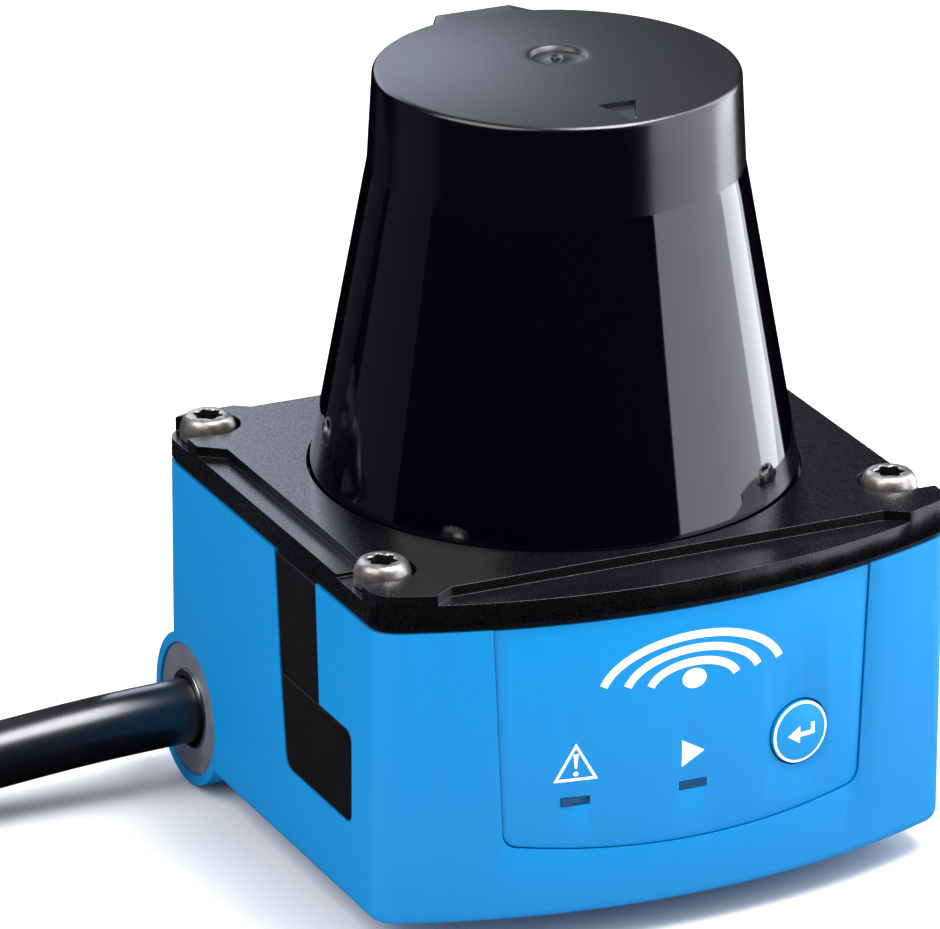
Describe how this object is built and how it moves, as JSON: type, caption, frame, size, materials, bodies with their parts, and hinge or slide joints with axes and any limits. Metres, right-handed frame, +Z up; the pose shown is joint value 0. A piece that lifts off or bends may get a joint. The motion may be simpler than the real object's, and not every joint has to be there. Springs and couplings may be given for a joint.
{
  "type": "lidar scanner module",
  "caption": "Compact two-dimensional lidar scanner: square housing, black conical optics hood over a spinning mirror, front button, and a fixed cable with a round plug.",
  "frame": {"origin": "on the scan axis, in the plane of the mounting pad's underside", "axes": "+Z up along the scan axis, -Y towards the front panel, +X to the right seen from the front"},
  "size_m": [0.1629, 0.136, 0.0773],
  "materials": {
    "paint": "satin",
    "plate": "grained",
    "hood": "polished",
    "steel": "satin",
    "seal": "matt",
    "membrane": "satin",
    "button": "satin",
    "board": "solder mask",
    "component": "moulded",
    "light_guide": "smoked clear",
    "led": "clear",
    "ring": "satin",
    "sleeve": "satin",
    "copper": "enamelled",
    "aluminium": "machined",
    "magnet": "sintered",
    "disc": "film",
    "mirror": "gold coated",
    "barrel": "moulded",
    "lens": "clear",
    "ribbon": "polyimide",
    "cable": "satin",
    "tie": "woven",
    "plug": "moulded",
    "nickel": "nickel plated",
    "insert": "moulded",
    "gilt": "gold plated"
  },
  "bodies": {
    "housing": {"lower_housing": "paint", "flange_plate": "plate", "optics_hood": "hood", "flange_screws": "steel", "optics_carrier_screws": "steel", "main_board_screws": "steel", "service_port": "steel", "lower_bearing": "steel", "upper_bearing": "steel", "bearing_spacer": "steel", "motor_stator": "steel", "laser_diode": "steel", "housing_gasket": "seal", "hood_seal": "seal", "service_cover_strap": "seal", "front_panel_membrane": "membrane", "panel_board": "board", "main_board": "board", "receiver_board": "board", "main_board_components": "component", "button_switch": "component", "encoder_sensor": "component", "receiver_chip": "component", "ribbon_header": "component", "cable_wire_header": "component", "alert_light_guide": "light_guide", "ready_light_guide": "light_guide", "status_leds": "led", "cable_gland_ring": "ring", "cable_sleeve": "sleeve", "motor_coils": "copper", "cable_wires": "copper", "optics_carrier": "aluminium", "rear_column": "aluminium", "laser_tube": "aluminium", "optics_head": "barrel", "receiver_lens": "lens", "laser_lens": "lens", "head_ribbon": "ribbon", "cable_lead": "cable", "cable_coil": "cable", "cable_tail": "cable", "coil_ties": "tie", "plug_boot": "plug", "plug_body": "plug", "plug_insert": "insert", "plug_pins": "gilt"},
    "scan_rotor": {"drive_shaft": "steel", "rotor_cup": "steel", "rotor_magnet": "magnet", "encoder_disc": "disc", "mirror_carrier": "component", "scan_mirror": "mirror"},
    "button": {"panel_button": "button"},
    "service_flap": {"service_cover_flap": "seal"},
    "coupling_nut": {"plug_nut": "nickel"}
  },
  "joints": [
    {"name": "scan_spin", "type": "hinge", "parent": "housing", "child": "scan_rotor", "pos_m": [0, 0, 0.05], "axis": [0, 0, 1], "continuous": true},
    {"name": "button_press", "type": "slide", "parent": "housing", "child": "button", "axis": [-0.1578, 0.9875, 0], "range_m": [0, 0.0005], "stiffness_N_per_m": 600, "springref_m": -0.001},
    {"name": "service_flap_open", "type": "hinge", "parent": "housing", "child": "service_flap", "pos_m": [-0.03, -0.0106, 0.0206], "axis": [0, 1, 0], "range_deg": [0, 100]},
    {"name": "coupling_nut_spin", "type": "hinge", "parent": "housing", "child": "coupling_nut", "pos_m": [-0.056, 0.09205, 0.02026], "axis": [1, 0, 0], "continuous": true}
  ]
}
